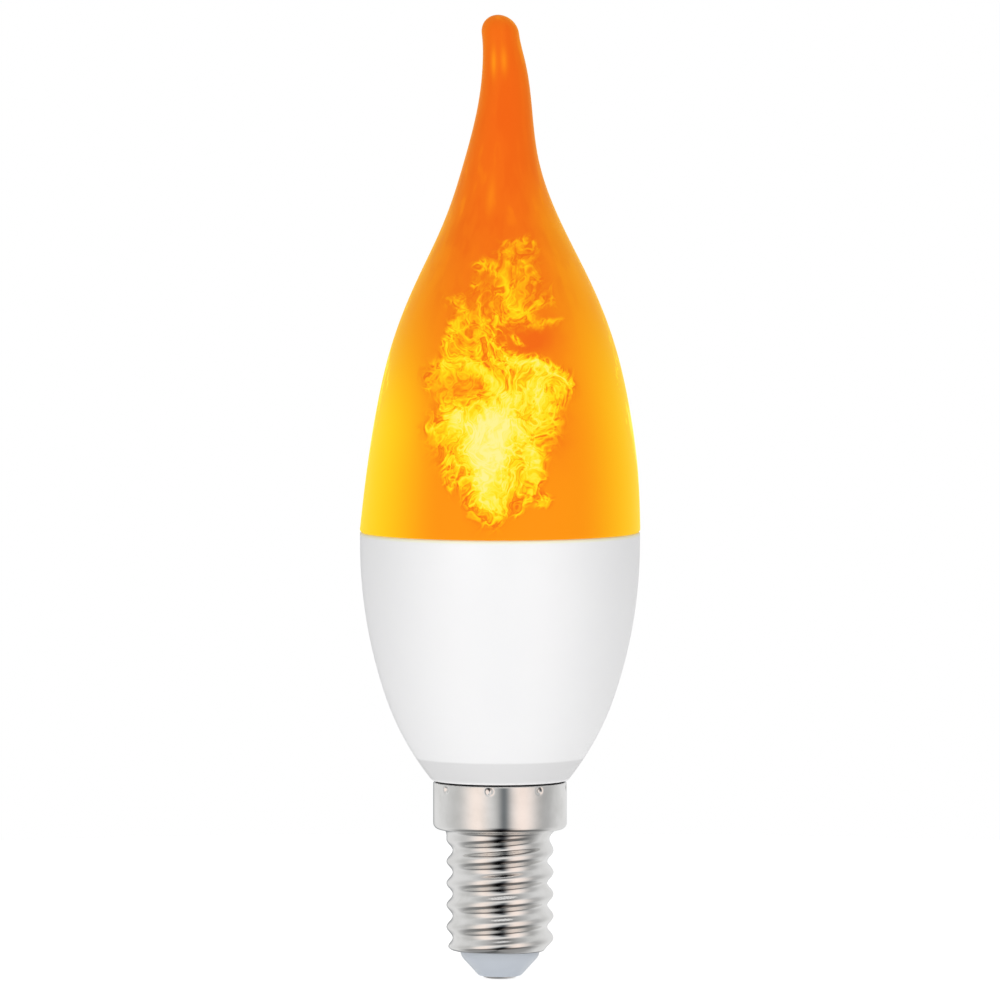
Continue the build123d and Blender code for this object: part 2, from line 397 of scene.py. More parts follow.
BODY_STROKES = (
    Stroke(-1.1, 71.2, 5.6, 2.6, 0.0, 1.06),
    Stroke(-1.2, 67.4, 4.9, 3.2, 0.0, 1.06),
    Stroke(-1.6, 62.8, 3.6, 2.2, 98.0, 0.86),
    Stroke(1.9, 63.2, 2.4, 1.7, 55.0, 0.45),
    Stroke(1.2, 74.8, 4.6, 2.2, 5.0, 0.50),
    Stroke(4.4, 66.4, 3.2, 1.0, 95.0, 0.52),
    Stroke(5.6, 73.2, 2.6, 1.3, 105.0, 0.50),
    Stroke(-6.2, 72.4, 2.2, 1.1, 110.0, 0.55),
)
TONGUE_STROKES = (
    Stroke(0.7, 80.4, 2.2, 0.7, -50.0, 0.52),
    Stroke(4.4, 78.5, 3.4, 0.9, -16.0, 0.75),
    Stroke(8.4, 76.8, 1.8, 0.8, -55.0, 0.58),
    Stroke(5.2, 75.6, 2.8, 1.5, -30.0, 0.36),
    Stroke(-2.6, 77.7, 4.2, 0.8, -40.0, 0.52),
    Stroke(0.4, 78.2, 2.4, 0.8, -50.0, 0.38),
    Stroke(-7.4, 78.6, 2.6, 0.9, 25.0, 0.34),
    Stroke(-9.3, 76.0, 1.4, 0.6, 75.0, 0.22),
    Stroke(-8.5, 70.8, 1.4, 0.6, 0.0, 0.36),
    Stroke(5.5, 61.4, 1.2, 0.8, 30.0, 0.42),
    Stroke(3.6, 62.0, 1.6, 0.5, 60.0, 0.30),
    Stroke(-6.6, 64.8, 1.9, 0.6, 105.0, 0.32),
    Stroke(2.6, 59.9, 0.9, 0.5, 40.0, 0.22),
)
PLUME_STROKES = (
    Stroke(-2.9, 91.3, 1.0, 0.7, 0.0, 0.35),
    Stroke(-1.1, 91.1, 1.3, 0.6, -35.0, 0.34),
    Stroke(-3.4, 89.3, 1.5, 0.6, 60.0, 0.22),
    Stroke(0.9, 88.6, 2.1, 0.75, -60.0, 0.46),
    Stroke(2.6, 86.4, 1.6, 0.6, -35.0, 0.35),
    Stroke(4.2, 86.0, 1.8, 0.6, 10.0, 0.34),
    Stroke(5.2, 86.8, 1.0, 0.5, 60.0, 0.29),
    Stroke(2.4, 84.7, 2.3, 0.6, -5.0, 0.35),
    Stroke(5.7, 83.8, 2.6, 0.5, 12.0, 0.22),
    Stroke(2.1, 82.3, 1.1, 0.4, -30.0, 0.29),
    Stroke(-2.0, 84.2, 2.6, 0.5, 95.0, 0.34),
    Stroke(-0.4, 84.2, 2.6, 0.5, 80.0, 0.35),
    Stroke(-5.7, 83.5, 1.9, 0.6, 80.0, 0.30),
    Stroke(-3.9, 81.6, 1.9, 0.5, 115.0, 0.30),
    Stroke(-4.5, 86.0, 1.8, 0.5, -45.0, 0.22),
    Stroke(-6.6, 81.4, 1.6, 0.6, 70.0, 0.20),
    Stroke(-6.2, 87.0, 1.8, 0.7, 30.0, 0.13),
    Stroke(3.0, 93.8, 1.3, 0.4, -25.0, 0.20),
    Stroke(0.6, 94.3, 1.1, 0.4, -20.0, 0.18),
    Stroke(0.2, 93.0, 1.0, 0.5, 10.0, 0.20),
    Stroke(3.3, 91.5, 1.8, 0.4, -55.0, 0.20),
    Stroke(1.8, 91.0, 1.6, 0.5, -40.0, 0.17),
    Stroke(4.6, 89.6, 1.5, 0.4, -62.0, 0.17),
    Stroke(6.6, 87.2, 1.8, 0.4, 100.0, 0.18),
)
HAZE_STROKES = (
    Stroke(-2.6, 83.0, 5.2, 3.6, 75.0, 0.22),
    Stroke(1.6, 88.2, 4.8, 3.4, -45.0, 0.18),
    Stroke(2.2, 92.6, 2.8, 2.2, 0.0, 0.11),
    Stroke(-7.0, 77.6, 3.2, 2.4, 20.0, 0.20),
    Stroke(5.2, 77.2, 4.4, 2.0, -20.0, 0.20),
    Stroke(3.2, 90.6, 3.4, 2.0, 100.0, 0.14),
    Stroke(-4.6, 84.0, 3.6, 1.8, 70.0, 0.12),
)
EMBER_STROKES = (
    Stroke(0.0, 89.0, 8.0, 5.6, 90.0, 0.80),
    Stroke(4.2, 81.8, 3.4, 2.6, 10.0, 0.90),
    Stroke(-5.6, 74.8, 2.2, 1.6, 0.0, 0.50),
    Stroke(7.0, 71.0, 4.4, 1.8, 95.0, 0.45),
)
# Painted highlights: pale strokes on the tip and tail, standing in for reflections on the cover.
PAINTED_HIGHLIGHT_STROKES = (
    Stroke(-0.8, 117.1, 1.7, 0.32, 90.0, 0.85),
    Stroke(0.5, 117.3, 1.6, 0.40, 92.0, 0.65),
    Stroke(-1.2, 99.9, 2.4, 0.50, 84.0, 0.45),
)


@dataclass(frozen=True)
class FlamePlastic(Finish):
    """Translucent cover lit from inside: amber that deepens up the tail, with a wispy flame."""

    base: Colour = (0.30, 0.060, 0.002)
    glow_strength: float = 0.84
    roughness: float = 0.35
    specular: float = 0.03
    sheen: float = 0.5
    sheen_roughness: float = 0.5
    sheen_tint: Colour = (1.0, 0.95, 0.02)
    foot: float = SEAM
    top: float = 124.1
    amber: Stops = (
        (0.0, (0.84, 0.285, 0.006)),
        (0.25, (0.84, 0.275, 0.006)),
        (0.45, (0.82, 0.215, 0.007)),
        (0.62, (0.77, 0.125, 0.008)),
        (0.80, (0.75, 0.095, 0.008)),
        (1.0, (0.75, 0.115, 0.008)),
    )
    # Painted limb glow: yellow painted towards the left and right, standing in for the brighter edge of
    # the lit cover, weaker higher up.
    painted_limb_glow: Colour = (1.0, 0.740, 0.010)
    side_start: float = 0.48
    side_full: float = 1.08
    side_shift: float = 1.2
    side_swing: float = 2.2
    side_low: Range = (70.0, 88.0)
    side_high: Range = (96.0, 104.0)
    side_high_share: float = 0.22
    tail_range: Range = (82.0, 96.0)
    streak: Colour = (0.70, 0.070, 0.006)
    streak_scale: float = 0.5
    streak_stretch: Stretch = (1.0, 1.0, 0.12)
    streak_range: Range = (0.45, 0.65)
    streak_depth: float = 0.5
    # Painted highlight: pale streaks over the tail, standing in for gloss reflections on the cover.
    painted_streak_highlight: Colour = (0.86, 0.205, 0.008)
    painted_streak_highlight_range: Range = (0.44, 0.30)
    painted_streak_highlight_depth: float = 0.6
    strokes: Tuple[Stroke, ...] = BODY_STROKES + TONGUE_STROKES + PLUME_STROKES + HAZE_STROKES
    embers: Tuple[Stroke, ...] = EMBER_STROKES
    painted_highlights: Tuple[Stroke, ...] = PAINTED_HIGHLIGHT_STROKES
    painted_highlight_colour: Colour = (0.92, 0.30, 0.010)
    ember: Colour = (0.74, 0.100, 0.008)
    heat_stops: Stops = (
        (0.0, (0.74, 0.120, 0.006)),
        (0.10, (0.80, 0.220, 0.006)),
        (0.26, (0.94, 0.530, 0.006)),
        (0.42, (1.05, 0.800, 0.010)),
        (0.60, (1.12, 0.930, 0.060)),
        (0.90, (1.16, 1.000, 0.340)),
    )
    swirl_scale: float = 0.11
    curl_scale: float = 0.33
    frill_scale: float = 0.9
    swirl_detail: float = 1.0
    strand_detail: float = 1.5
    stroke_shifts: Tuple[float, float, float] = (2.0, 2.2, 0.8)
    strand_shifts: Tuple[float, float, float] = (10.0, 4.5, 0.8)
    strand_stretch: Stretch = (1.0, 0.6, 1.0)
    strand_weaves: Tuple[Weave, ...] = (
        Weave(0.24, 18.0, 1.0),
        Weave(0.48, 13.0, 0.9),
    )
    thread_weaves: Tuple[Weave, ...] = (
        Weave(0.90, 9.0, 1.0),
        Weave(1.60, 7.0, 0.8),
    )
    groove_weaves: Tuple[Weave, ...] = (
        Weave(0.48, 20.0, 1.0, 0.42),
        Weave(0.90, 12.0, 1.0, 0.42),
    )
    body_light: float = 0.56
    strand_light: float = 0.36
    thread_light: float = 0.22
    groove_light: float = 0.20
    strand_fade: float = 1.60
    plume_range: Range = (78.0, 88.0)
    plume_cool: float = 0.35
    body_limit: float = 1.20
    body_power: float = 1.6
    lift: float = 1.0
    side_squeeze: float = 1.9
    side_light: float = 0.85
    cover_range: Range = (0.02, 0.30)
    side_cover_range: Range = (0.12, 0.45)
    back_seed: float = 31.0
    left_seed: float = 57.0
    right_seed: float = 80.0

    @staticmethod
    def ahead(x: Channel, y: Channel) -> Channel:
        """One on the front and the back, nought on the left and the right."""
        return abs(y) > abs(x)

    def flame_place(self, tree: ShaderTree) -> Channel:
        """Lay the flame's own plane on each of the four sides.

        The way across is x at the front, -x at the back, and y on the right or -y on the left
        times the squeeze, which makes the flame narrower there. The lift is taken off the height,
        and each side has a seed of its own, so no two flames are alike.

        Args:
            tree: The material's tree.

        Returns:
            The way across and the height in millimetres, and the seed, as a vector.
        """
        x, y, z = tree.split(tree.place())
        ahead = self.ahead(x, y)
        behind = y > 0.0
        right = x > 0.0
        across_front = x * (1.0 - 2.0 * behind)
        across_side = y * (2.0 * right - 1.0) * self.side_squeeze
        across = ahead * across_front + (1.0 - ahead) * across_side
        side_seed = right * (self.right_seed - self.left_seed) + self.left_seed
        seed = ahead * behind * self.back_seed + (1.0 - ahead) * side_seed
        return tree.join(across, z - self.lift, seed)

    @staticmethod
    def shifted(
        tree: ShaderTree, plane: Channel, waves: Sequence[Channel], reaches: Sequence[float]
    ) -> Channel:
        """Push a plane about by noises.

        Args:
            tree: The material's tree.
            plane: The point on the flame's plane.
            waves: The noises, as vectors.
            reaches: How far each pushes, in millimetres.

        Returns:
            The plane's new place.
        """
        moved = plane
        for wave, reach in zip(waves, reaches):
            moved = tree.vector("ADD", moved, tree.vector("SCALE", wave, Scale=reach))
        return moved

    def lines(self, tree: ShaderTree, place: Channel, weaves: Sequence[Weave]) -> Channel:
        """Thin lines where noises cross their levels.

        A line has its weight at its noise's level, and falls off evenly to both sides of it.

        Args:
            tree: The material's tree.
            place: The point on the flame's plane.
            weaves: The layers of lines.

        Returns:
            The strongest of the layers, and never less than nought.
        """
        brightest: Operand = 0.0
        for weave in weaves:
            wave = tree.noise(place, weave.scale, self.strand_detail)
            line = (1.0 - abs(wave - weave.level) * weave.sharpness) * weave.weight
            brightest = line.math("MAXIMUM", brightest)
        return brightest

    @staticmethod
    def painted(tree: ShaderTree, place: Channel, strokes: Sequence[Stroke]) -> Channel:
        """Sum of strokes.

        Each is its light times e to the power of minus d squared, with d the distance from its
        middle, measured in its half length along its slant and in its half width across it.

        Args:
            tree: The material's tree.
            place: The point on the flame's plane.
            strokes: The strokes to add up.

        Returns:
            Their light.
        """
        light: Operand = 0.0
        for stroke in strokes:
            inputs = {
                "Vector": place,
                "Location": (stroke.across, stroke.up, 0.0),
                "Rotation": (0.0, 0.0, radians(stroke.slant)),
                "Scale": (stroke.half_length, stroke.half_width, 1.0),
            }
            local = tree.add("ShaderNodeMapping", {"vector_type": "TEXTURE"}, inputs)
            bell = (tree.vector("DOT_PRODUCT", local, local) * -1.0).math("EXPONENT")
            light = bell.math("MULTIPLY_ADD", stroke.light, light)
        return light

    def glow(self, tree: ShaderTree, amber: Channel) -> Channel:
        """Lay embers, painted highlights and flame over the amber.

        Three noises push the flame's plane about. The strokes give the body of the flame. Thin
        strands and threads lie where further noises cross their middle and brighten it, grooves
        darken it, and its plume is cooler. On the left and right only the hottest of it shows.

        Args:
            tree: The material's tree.
            amber: The colour that the flame stands on.

        Returns:
            The colour of the light from inside.
        """
        plane = self.flame_place(tree)
        middle = (NOISE_MIDDLE, NOISE_MIDDLE, NOISE_MIDDLE)
        waves = [
            tree.vector("SUBTRACT", tree.noise(plane, scale, self.swirl_detail, "Color"), middle)
            for scale in (self.swirl_scale, self.curl_scale, self.frill_scale)
        ]
        pushed = self.shifted(tree, plane, waves, self.stroke_shifts)
        moved = tree.vector("MULTIPLY", pushed, LEVEL_PART)
        x, y, _ = tree.split(tree.place())
        ahead = self.ahead(x, y)
        calm = ahead * (1.0 - self.side_light) + self.side_light
        body = self.painted(tree, moved, self.strokes).math("MINIMUM", self.body_limit) * calm
        embers = self.painted(tree, moved, self.embers).math("MINIMUM", 1.0) * ahead
        stretched = tree.vector("MULTIPLY", plane, self.strand_stretch)
        folded = self.shifted(tree, stretched, waves, self.strand_shifts)
        strands = self.lines(tree, folded, self.strand_weaves) * self.strand_light
        threads = self.lines(tree, folded, self.thread_weaves) * self.thread_light
        grooves = self.lines(tree, folded, self.groove_weaves) * self.groove_light
        loose = body.math("SQRT") * (self.strand_fade - body)
        warm = body**self.body_power * self.body_light + loose * (strands + threads - grooves)
        higher = tree.split(plane)[Axis.Y].rise(*self.plume_range)
        heat = warm * (1.0 - higher * self.plume_cool)
        # Painted highlights on the tip and tail, laid over the embers and the amber.
        painted_highlights = self.painted(tree, plane, self.painted_highlights)
        ground = tree.mix(painted_highlights, tree.mix(embers, amber, self.ember), self.painted_highlight_colour)
        hot = heat.rise(*self.side_cover_range)
        cover = ahead * body.rise(*self.cover_range) + (1.0 - ahead) * hot
        return tree.mix(cover, ground, tree.ramp(heat, self.heat_stops))

    def paint(self, tree: ShaderTree) -> None:
        """Amber deepening with height and a painted limb glow yellowing it towards the sides, under the
        flame.

        Args:
            tree: The material's tree.
        """
        place = tree.place()
        x, _, z = tree.split(place)
        plain = tree.ramp((z - self.foot) / (self.top - self.foot), self.amber)
        streaks = tree.noise(tree.vector("MULTIPLY", place, self.streak_stretch), self.streak_scale)
        tail = z.rise(*self.tail_range)
        # Painted highlight streaks in the tail, where the streak noise is low.
        highlight_streaks = streaks.rise(*self.painted_streak_highlight_range) * tail
        deep = streaks.rise(*self.streak_range) * tail
        highlighted = tree.mix(highlight_streaks * self.painted_streak_highlight_depth, plain, self.painted_streak_highlight)
        front = tree.mix(deep * self.streak_depth, highlighted, self.streak)
        # Painted limb glow: a mask that yellows the amber towards the left and right sides and fades with
        # height.
        reach = tree.vector("LENGTH", tree.vector("MULTIPLY", place, LEVEL_PART))
        higher = z.rise(*self.side_low)
        shift = self.side_shift - higher * self.side_swing
        side = (abs(x - shift) / reach).rise(self.side_start, self.side_full)
        level = (1.0 - higher) * (1.0 - self.side_high_share)
        level = level + (1.0 - z.rise(*self.side_high)) * self.side_high_share
        amber = tree.mix(side * level, front, self.painted_limb_glow)
        tree.surface(
            {
                Principled.BASE: self.base,
                Principled.ROUGHNESS: self.roughness,
                Principled.SPECULAR: self.specular,
                Principled.SHEEN: self.sheen,
                Principled.SHEEN_ROUGHNESS: self.sheen_roughness,
                Principled.SHEEN_TINT: self.sheen_tint,
                Principled.GLOW: self.glow(tree, amber),
                Principled.GLOW_STRENGTH: self.glow_strength,
            }
        )


@dataclass(frozen=True)
class SatinPlastic(Finish):
    """Moulded plastic: a soft mottle in colour and gloss over a faint moulded skin."""

    base: Colour = (0.925, 0.925, 0.93)
    shade: Colour = (0.90, 0.90, 0.91)
    roughness: float = 0.34
    roughness_swing: float = 0.08
    specular: float = 0.4
    mottle_scale: float = 0.12
    mottle_detail: float = 3.0
    skin_scale: float = 3.0
    skin_reach: float = 0.004

    def colour(self, tree: ShaderTree, place: Channel, mottle: Channel) -> Channel:
        """Blend the two shades by the mottle."""
        return tree.mix(mottle, self.base, self.shade)

    def paint(self, tree: ShaderTree) -> None:
        """Mottle colour and gloss by a slow noise, and tilt the normal by a fine one.

        Args:
            tree: The material's tree.
        """
        place = tree.place()
        mottle = tree.noise(place, self.mottle_scale, self.mottle_detail)
        skin = tree.noise(place, self.skin_scale)
        tree.surface(
            {
                Principled.BASE: self.colour(tree, place, mottle),
                Principled.ROUGHNESS: (mottle - NOISE_MIDDLE) * self.roughness_swing + self.roughness,
                Principled.SPECULAR: self.specular,
                Principled.NORMAL: tree.bump(skin, self.skin_reach),
            }
        )


@dataclass(frozen=True)
class HousingPlastic(SatinPlastic):
    """White plastic, warmed along its rim by painted light from the cover, with a painted shade band over
    the cap's collar.

    The neck in the gap to the collar, below the foot's edge, is dark with painted shadow.
    """

    # Painted light: the cover's warm light painted on the housing's rim just below the seam.
    rim: Colour = (0.94, 0.90, 0.66)
    rim_start: float = 57.05
    rim_full: float = 57.45
    # Painted shade: a greyer band on the housing's foot above the cap's collar, where the shade falls.
    band: Colour = (0.755, 0.755, 0.76)
    shade_band_top: float = 28.7
    shade_band_foot: float = 26.05
    shade_band_edge: float = 0.35
    # Painted shadow: the neck near-black where it shows in the gap above the collar.
    gap_shadow: Colour = (0.02, 0.02, 0.022)
    gap_shadow_top: float = 25.62
    gap_shadow_edge: float = 0.06

    def colour(self, tree: ShaderTree, place: Channel, mottle: Channel) -> Channel:
        """Lay painted rim light, a painted shade band and painted gap shadow over the plain colour by
        height.

        Args:
            tree: The material's tree.
            place: The point on the piece.
            mottle: The slow noise.

        Returns:
            The colour.
        """
        plain = super().colour(tree, place, mottle)
        z = tree.split(place)[Axis.Z]
        # Mask of the painted shade band, between its top and its foot.
        within = z.rise(self.shade_band_top, self.shade_band_top - self.shade_band_edge)
        above = z.rise(self.shade_band_foot - self.shade_band_edge, self.shade_band_foot)
        with_painted_shade = tree.mix(within * above, plain, self.band)
        # Painted shadow in the gap above the collar.
        gap_shaded = tree.mix(z.rise(self.gap_shadow_top, self.gap_shadow_top - self.gap_shadow_edge), with_painted_shade, self.gap_shadow)
        # Painted warm light from the cover along the rim.
        return tree.mix(z.rise(self.rim_start, self.rim_full), gap_shaded, self.rim)


@dataclass(frozen=True)
class PlatedMetal(Finish):
    """Bright plated sheet: fine rolling lines round the axis and a dull bloom."""

    base: Colour = (0.80, 0.795, 0.785)
    dull: Colour = (0.72, 0.715, 0.70)
    roughness: float = 0.09
    roughness_swing: float = 0.06
    bloom_scale: float = 0.35
    bloom_detail: float = 3.0
    dull_range: Range = (0.35, 0.75)
    line_scale: float = 5.0
    line_stretch: Stretch = (0.06, 0.06, 1.0)
    line_reach: float = 0.0015

    def paint(self, tree: ShaderTree) -> None:
        """Rule level lines by a noise drawn out sideways, and bloom by a slow noise.

        Args:
            tree: The material's tree.
        """
        place = tree.place()
        lines = tree.noise(tree.vector("MULTIPLY", place, self.line_stretch), self.line_scale)
        bloom = tree.noise(place, self.bloom_scale, self.bloom_detail)
        tree.surface(
            {
                Principled.BASE: tree.mix(bloom.rise(*self.dull_range), self.base, self.dull),
                Principled.METALLIC: 1.0,
                Principled.ROUGHNESS: (bloom - NOISE_MIDDLE) * self.roughness_swing + self.roughness,
                Principled.NORMAL: tree.bump(lines, self.line_reach),
            }
        )


@dataclass(frozen=True)
class WovenLaminate(Finish):
    """Board laminate: lacquer over a glass weave that shows as a fine check."""

    base: Colour = (0.03, 0.20, 0.08)
    thread: Colour = (0.05, 0.27, 0.11)
    roughness: float = 0.35
    weave_scale: float = 9.0
    relief: float = 0.01

    def paint(self, tree: ShaderTree) -> None:
        """The weave is the product of two sine waves, along x and along z.

        Args:
            tree: The material's tree.
        """
        x, _, z = tree.split(tree.place())
        weave = (x * self.weave_scale).math("SINE") * (z * self.weave_scale).math("SINE")
        tree.surface(
            {
                Principled.BASE: tree.mix(weave.rise(-1.0, 1.0), self.base, self.thread),
                Principled.ROUGHNESS: self.roughness,
                Principled.NORMAL: tree.bump(weave, self.relief),
            }
        )


@dataclass(frozen=True)
class RingedFinish(Finish):
    """Rings along one axis: colour bands on a resistor, or turns of wire on a drum."""

    axis: Axis = Axis.Z
    base: Colour = (0.45, 0.33, 0.18)
    ring: Colour = (0.12, 0.05, 0.03)
    pitch: float = 1.6
    share: float = 0.3
    softness: float = 0.1
    roughness: float = 0.4
    relief: float = 0.02

    def paint(self, tree: ShaderTree) -> None:
        """A sine along the axis, cut so that rings take up about their share.

        Args:
            tree: The material's tree.
        """
        along = tree.split(tree.place())[self.axis]
        wave = (along * (FULL_TURN / self.pitch)).math("SINE")
        edge = 1.0 - 2.0 * self.share
        rings = wave.rise(edge - self.softness, edge + self.softness)
        tree.surface(
            {
                Principled.BASE: tree.mix(rings, self.base, self.ring),
                Principled.ROUGHNESS: self.roughness,
                Principled.NORMAL: tree.bump(wave, self.relief),
            }
        )


# Sections and skins


def spline_through(
    knots: np.ndarray, values: np.ndarray, at: np.ndarray, last_slope: float
) -> np.ndarray:
    """Cubic spline through knots, free at the first knot and with a set slope at the last.

    The slopes solve the usual linear system for a continuous second derivative, and each span is
    the Hermite cubic of its end values and slopes.

    Args:
        knots: Increasing places.
        values: Values at the knots.
        at: Places to evaluate.
        last_slope: Slope at the last knot.

    Returns:
        The spline at those places.
    """
    count = len(knots)
    span = np.diff(knots)
    chord = np.diff(values) / span
    system = np.zeros((count, count))
    right = np.zeros(count)
    inner = np.arange(1, count - 1)
    system[inner, inner - 1] = span[1:]
    system[inner, inner] = 2 * (span[:-1] + span[1:])
    system[inner, inner + 1] = span[:-1]
    right[inner] = 3 * (span[1:] * chord[:-1] + span[:-1] * chord[1:])
    system[0, :2] = (2, 1)
    right[0] = 3 * chord[0]
    system[-1, -1] = 1
    right[-1] = last_slope
    slope = np.linalg.solve(system, right)
    i = np.clip(np.searchsorted(knots, at, side="right") - 1, 0, count - 2)
    t = (at - knots[i]) / span[i]
    first = (1 + 2 * t) * (1 - t) ** 2 * values[i] + t**2 * (3 - 2 * t) * values[i + 1]
    second = span[i] * (t * (1 - t) ** 2 * slope[i] - t**2 * (1 - t) * slope[i + 1])
    return first + second


def tangent_arc(start: Point, stop: Point, tangent: Point, count: int) -> Tuple[np.ndarray, Point]:
    """Circular arc that leaves start along a tangent and ends at stop.

    With T the tangent, N its left normal and R the signed radius, the point at turn a is
    start + R (sin a T + (1 - cos a) N).

    Args:
        start: First point.
        stop: Last point.
        tangent: Direction at the first point.
        count: Number of points.

    Returns:
        The points, and the direction at the last one.
    """
    along = np.asarray(tangent, float)
    along = along / np.linalg.norm(along)
    normal = np.array([-along[1], along[0]])
    chord = np.subtract(stop, start)
    radius = chord @ chord / (2 * chord @ normal)
    turn = np.linspace(0, 2 * np.arctan2(chord @ normal, chord @ along), count)[:, None]
    points = start + radius * (np.sin(turn) * along + (1 - np.cos(turn)) * normal)
    last = np.cos(turn[-1]) * along + np.sin(turn[-1]) * normal
    return points, (last[0], last[1])


def rounded(corners: Sequence[Corner], count: int = 6) -> np.ndarray:
    """Path through corners, each rounded by an arc of its own radius.

    The arc's centre lies on the corner's bisector, and its points turn from one side's foot to the
    other's by the same steps of angle.

    Args:
        corners: Radius, height and rounding of each corner, the first and last unrounded.
        count: Points to an arc.

    Returns:
        The path's points.
    """
    path = [np.array([corners[0][:2]])]
    for before, here, after in zip(corners, corners[1:], corners[2:]):
        corner = np.array(here[:2])
        bend = here[2]
        if bend <= 0:
            path.append(corner[None])
            continue
        back = np.subtract(before[:2], corner)
        back = back / np.linalg.norm(back)
        ahead = np.subtract(after[:2], corner)
        ahead = ahead / np.linalg.norm(ahead)
        half = np.arccos(np.clip(back @ ahead, -1, 1)) / 2
        middle = corner + (back + ahead) / np.linalg.norm(back + ahead) * bend / np.sin(half)
        reach = bend / np.tan(half)
        spoke_in = (corner + back * reach - middle) / bend
        spoke_out = (corner + ahead * reach - middle) / bend
        sweep = np.pi - 2 * half
        share = np.linspace(0, 1, count)[:, None]
        arc = (np.sin((1 - share) * sweep) * spoke_in + np.sin(share * sweep) * spoke_out) / np.sin(sweep)
        path.append(middle + bend * arc)
    path.append(np.array([corners[-1][:2]]))
    return np.concatenate(path)


def evenly(path: np.ndarray, step: float) -> np.ndarray:
    """Divide a path's straight runs into equal steps.

    Args:
        path: The path's points, all of which stay, but for doubles.
        step: The longest step.

    Returns:
        The path with its added points.
    """
    parts = []
    for start, stop in zip(path, path[1:]):
        length = np.linalg.norm(stop - start)
        if length > 0:
            count = int(np.ceil(length / step))
            parts.append(np.linspace(start, stop, count, endpoint=False))
    parts.append(path[-1:])
    return np.concatenate(parts)


def angles(columns: int) -> np.ndarray:
    """Even angles round the axis from +X, as one row."""
    return np.linspace(0, FULL_TURN, columns, endpoint=False)[None, :]


def half_sphere(radius: float, base: float, turn: np.ndarray) -> np.ndarray:
    """Section of a half sphere: r sin a out from the axis and r cos a above the base, at turns a."""
    return np.stack([radius * np.sin(turn), base + radius * np.cos(turn)], axis=-1)


def turned(
    radius: np.ndarray, height: np.ndarray, shift: Union[np.ndarray, float], columns: int
) -> np.ndarray:
    """Carry a section round the axis.

    The point in row i and column j is (shift + r cos a, r sin a, h), with a the column's angle.

    Args:
        radius: Radii by row, or by row and column.
        height: Heights by row.
        shift: How far each row's circle leans towards +X.
        columns: Number of columns.

    Returns:
        The grid of points.
    """
    turn = angles(columns)
    rows = len(height)
    reach = np.broadcast_to(radius.reshape(rows, -1), (rows, columns))
    lean = np.broadcast_to(np.reshape(shift, (-1, 1)), (rows, columns))
    level = np.broadcast_to(height.reshape(rows, 1), (rows, columns))
    return np.stack([lean + reach * np.cos(turn), reach * np.sin(turn), level], axis=-1)


def revolved(section: np.ndarray, columns: int) -> np.ndarray:
    """Carry a section's radii and heights round the axis with no lean."""
    return turned(section[:, 0], section[:, 1], 0.0, columns)


def set_in_scene(name: str, data: bpy.types.ID) -> bpy.types.Object:
    """Put a new object into the scene, at the origin.

    Args:
        name: The object's name.
        data: Its mesh, light or camera.

    Returns:
        The new object.
    """
    thing = bpy.data.objects.new(name, data)
    bpy.context.scene.collection.objects.link(thing)
    return thing


def make_skin(name: str, points: np.ndarray, poles: bool) -> bpy.types.Object:
    """Make a closed, smooth mesh from a grid of points.

    Each face joins a row to the next one, and columns wrap. Rows wrap too, unless the first and
    last are poles, which become one vertex each with a fan of triangles.

    Args:
        name: The piece's name.
        points: Points by row and column, in millimetres.
        poles: Whether the section starts and ends on the axis.

    Returns:
        The new object.
    """
    rows, columns = points.shape[:2]
    index = np.arange(rows * columns).reshape(rows, columns)
    if poles:
        index = index - (columns - 1)
        index[0] = 0
        index[-1] = index[-2, -1] + 1
    ahead = np.roll(index, -1, axis=1)
    below = np.roll(index, -1, axis=0)
    both = np.roll(below, -1, axis=1)
    quads = np.stack([index, below, both, ahead], axis=-1)
    if poles:
        fan_in = quads[0][:, [0, 1, 2]].tolist()
        fan_out = quads[-2][:, [0, 1, 3]].tolist()
        faces = fan_in + quads[1:-2].reshape(-1, 4).tolist() + fan_out
        flat = np.concatenate([points[0, :1], points[1:-1].reshape(-1, 3), points[-1, :1]])
    else:
        faces = quads.reshape(-1, 4).tolist()
        flat = points.reshape(-1, 3)
    mesh = bpy.data.meshes.new(name)
    mesh.from_pydata(flat * MM, [], faces)
    mesh.polygons.foreach_set("use_smooth", np.ones(len(mesh.polygons), dtype=bool))
    mesh.update()
    return set_in_scene(name, mesh)


# The lamp


@dataclass
class SubAssembly:
    """A piece of the lamp that stands for a CAD node."""

    node: str
    slot: str
    finish: Finish
    poles: bool = False

    def points(self) -> np.ndarray:
        """The piece's grid of points."""
        raise NotImplementedError

    def build(self) -> bpy.types.Object:
        """Make the piece, dress it and set it on the lamp's body.

        Returns:
            The finished piece.
        """
        piece = make_skin(f"{self.node}_skin", self.points(), self.poles)
        piece.data.materials.append(self.finish.material())
        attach(piece, BODY)
        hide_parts(self.node)
        LOG.info("%s: %d faces, finish %s", piece.name, len(piece.data.polygons), self.finish.name)
        return piece


